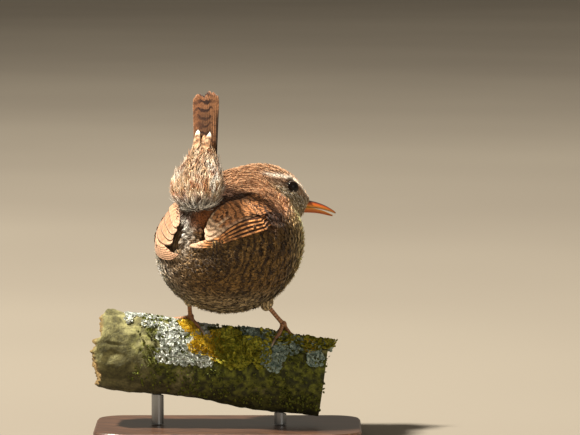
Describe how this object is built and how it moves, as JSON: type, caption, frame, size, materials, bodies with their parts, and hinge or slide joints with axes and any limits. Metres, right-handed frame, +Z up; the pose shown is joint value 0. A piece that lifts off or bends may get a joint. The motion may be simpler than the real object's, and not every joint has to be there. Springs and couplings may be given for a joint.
{
  "type": "wren",
  "caption": "Still life-size wren with a cocked tail, fluffed out and looking back over its right shoulder, gripping a short branch that rods hold over a flat base.",
  "frame": {"origin": "centre of the stand base's flat underside", "axes": "+Z up, the trunk faces -Y, so the bird's right side is -X; the branch and base run 31 degrees round from the X axis"},
  "size_m": [0.0934, 0.0818, 0.1125],
  "materials": {
    "back_feathers": "matt barred rufous brown feathers of the head, nape and wing coverts",
    "belly_feathers": "matt buff-grey feathers with wavy dark bars",
    "vent_feathers": "loose pale mottled feathers with white tips under the tail",
    "quill_feathers": "smooth rufous flight feathers barred with dark brown",
    "bill_horn": "satin orange-brown horn",
    "eye": "wet glossy blackish brown",
    "leg_scales": "satin reddish brown scutes",
    "claw_horn": "satin grey-brown horn",
    "bark": "rough bark with olive moss and grey, white and yellow lichen",
    "stand_wood": "dark satin varnish",
    "rod_steel": "fine brushed"
  },
  "bodies": {
    "root": {"head": "back_feathers", "neck": "back_feathers", "trunk": "belly_feathers", "tail_coverts": "vent_feathers", "tail": "quill_feathers", "eye_left": "eye", "eye_right": "eye", "bill_upper": "bill_horn", "bill_lower": "bill_horn", "wing_left_coverts": "back_feathers", "wing_left_tertials": "back_feathers", "wing_left_primaries": "quill_feathers", "thigh_left": "belly_feathers", "tarsus_left": "leg_scales", "toe_left_1": "leg_scales", "claw_left_1": "claw_horn", "toe_left_2": "leg_scales", "claw_left_2": "claw_horn", "toe_left_3": "leg_scales", "claw_left_3": "claw_horn", "toe_left_4": "leg_scales", "claw_left_4": "claw_horn", "wing_right_coverts": "back_feathers", "wing_right_tertials": "back_feathers", "wing_right_primaries": "quill_feathers", "thigh_right": "belly_feathers", "tarsus_right": "leg_scales", "toe_right_1": "leg_scales", "claw_right_1": "claw_horn", "toe_right_2": "leg_scales", "claw_right_2": "claw_horn", "toe_right_3": "leg_scales", "claw_right_3": "claw_horn", "toe_right_4": "leg_scales", "claw_right_4": "claw_horn", "perch": "bark", "stand_base": "stand_wood", "stand_rod_1": "rod_steel", "stand_rod_2": "rod_steel"}
  },
  "joints": []
}
